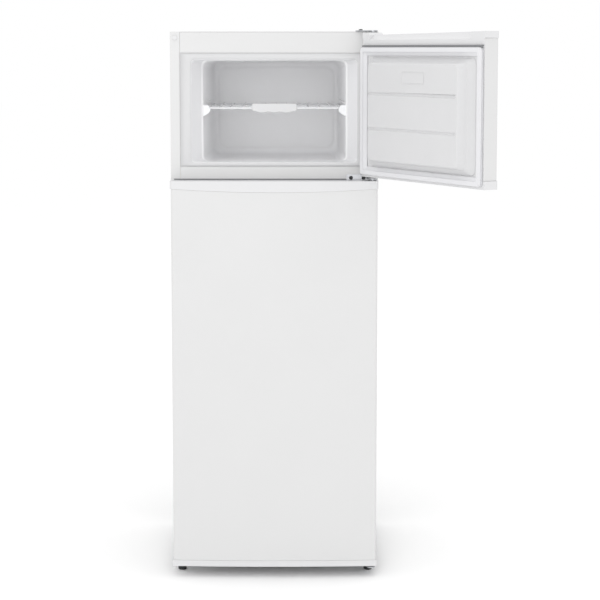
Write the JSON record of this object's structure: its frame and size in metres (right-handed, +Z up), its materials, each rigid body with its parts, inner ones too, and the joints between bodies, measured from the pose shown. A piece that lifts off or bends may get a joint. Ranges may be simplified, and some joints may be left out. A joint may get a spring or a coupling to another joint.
{
  "type": "top freezer refrigerator",
  "caption": "Free-standing white refrigerator with a small freezer on top, its door hung on the right and standing open, over a tall fridge compartment with its door shut.",
  "frame": {"origin": "bottom centre of the whole object's box with the freezer door open as at rest, on the floor", "axes": "+X to the right seen from the front, +Y from the front to the back, +Z up"},
  "size_m": [0.8004, 1.032, 1.4406],
  "materials": {
    "white_steel": "satin",
    "white_liner": "satin",
    "white_cap": "satin",
    "gasket": "matte",
    "zinc_steel": "satin",
    "black_steel": "satin",
    "black_plastic": "matte",
    "clear_plastic": "gloss",
    "shelf_glass": "gloss",
    "foam": "matte",
    "aluminium": "satin",
    "copper": "satin",
    "white_wire": "satin"
  },
  "bodies": {
    "cabinet": {"freezer_liner": "white_liner", "fridge_liner": "white_liner", "cabinet_shell": "white_steel", "top_rail": "white_steel", "middle_rail": "white_steel", "bottom_rail": "white_steel", "base_pan": "zinc_steel", "back_panel": "zinc_steel", "freezer_evaporator": "aluminium", "fridge_evaporator": "aluminium", "cabinet_foam": "foam", "compressor_base_plate": "zinc_steel", "compressor": "black_steel", "terminal_cover": "black_plastic", "drip_tray": "black_plastic", "filter_drier": "copper", "condenser": "black_steel", "lead_gland": "black_plastic", "rear_foot_left": "black_plastic", "rear_foot_right": "black_plastic", "top_hinge": "black_steel", "middle_hinge": "zinc_steel", "bottom_hinge": "zinc_steel", "top_hinge_screw_1": "zinc_steel", "top_hinge_screw_2": "zinc_steel", "middle_hinge_screw_1": "zinc_steel", "middle_hinge_screw_2": "zinc_steel", "hole_plug": "white_cap", "thermostat_housing": "white_liner", "lamp": "clear_plastic", "crisper_cover": "shelf_glass", "glass_shelf_1": "shelf_glass", "shelf_trim_1": "white_cap", "glass_shelf_2": "shelf_glass", "shelf_trim_2": "white_cap", "shelf_support_left": "white_cap", "shelf_support_right": "white_cap"},
    "freezer_door": {"freezer_door_skin": "white_steel", "freezer_door_bottom_cap": "white_cap", "freezer_door_top_cap": "white_cap", "freezer_door_liner": "white_liner", "freezer_door_foam": "foam", "freezer_door_gasket": "gasket", "freezer_door_bush": "black_plastic"},
    "fridge_door": {"fridge_door_skin": "white_steel", "fridge_door_top_cap": "white_cap", "fridge_door_bottom_cap": "white_cap", "fridge_door_liner": "white_liner", "fridge_door_foam": "foam", "fridge_door_gasket": "gasket", "door_balcony_lower": "clear_plastic", "door_balcony_middle": "clear_plastic", "door_balcony_upper": "clear_plastic"},
    "thermostat_knob": {"thermostat_knob": "white_cap"},
    "light_switch_button": {"light_switch_button": "white_cap"},
    "freezer_shelf": {"freezer_wire_shelf": "white_wire", "freezer_shelf_grip": "white_cap"},
    "crisper_drawer": {"crisper_drawer": "clear_plastic"},
    "front_foot_left": {"front_foot_left": "black_plastic"},
    "front_foot_right": {"front_foot_right": "black_plastic"}
  },
  "joints": [
    {"name": "freezer_door_hinge", "type": "hinge", "parent": "cabinet", "child": "freezer_door", "pos_m": [0.12479, -0.04984, 1.245], "axis": [0, 0, 1], "range_deg": [-120, 15]},
    {"name": "fridge_door_hinge", "type": "hinge", "parent": "cabinet", "child": "fridge_door", "pos_m": [0.12479, -0.04984, 0.54], "axis": [0, 0, 1], "range_deg": [0, 130]},
    {"name": "thermostat_knob_turn", "type": "hinge", "parent": "cabinet", "child": "thermostat_knob", "pos_m": [-0.16021, 0.04516, 0.988], "axis": [0, -1, 0], "range_deg": [-135, 135]},
    {"name": "light_switch_press", "type": "slide", "parent": "cabinet", "child": "light_switch_button", "axis": [0, 1, 0], "range_m": [0, 0.006], "stiffness_N_per_m": 100},
    {"name": "freezer_shelf_slide", "type": "slide", "parent": "cabinet", "child": "freezer_shelf", "axis": [0, -1, 0], "range_m": [0, 0.24]},
    {"name": "crisper_slide", "type": "slide", "parent": "cabinet", "child": "crisper_drawer", "axis": [0, -1, 0], "range_m": [0, 0.2]},
    {"name": "front_foot_left_turn", "type": "hinge", "parent": "cabinet", "child": "front_foot_left", "pos_m": [-0.37921, 0.01116, 0.02], "axis": [0, 0, 1], "range_deg": [-180, 180]},
    {"name": "front_foot_right_turn", "type": "hinge", "parent": "cabinet", "child": "front_foot_right", "pos_m": [0.11879, 0.01116, 0.02], "axis": [0, 0, 1], "range_deg": [-180, 180]}
  ],
  "couplings": [
    {"joint": "crisper_slide", "follows": "fridge_door_hinge", "m_per_rad": 0.088147}
  ]
}
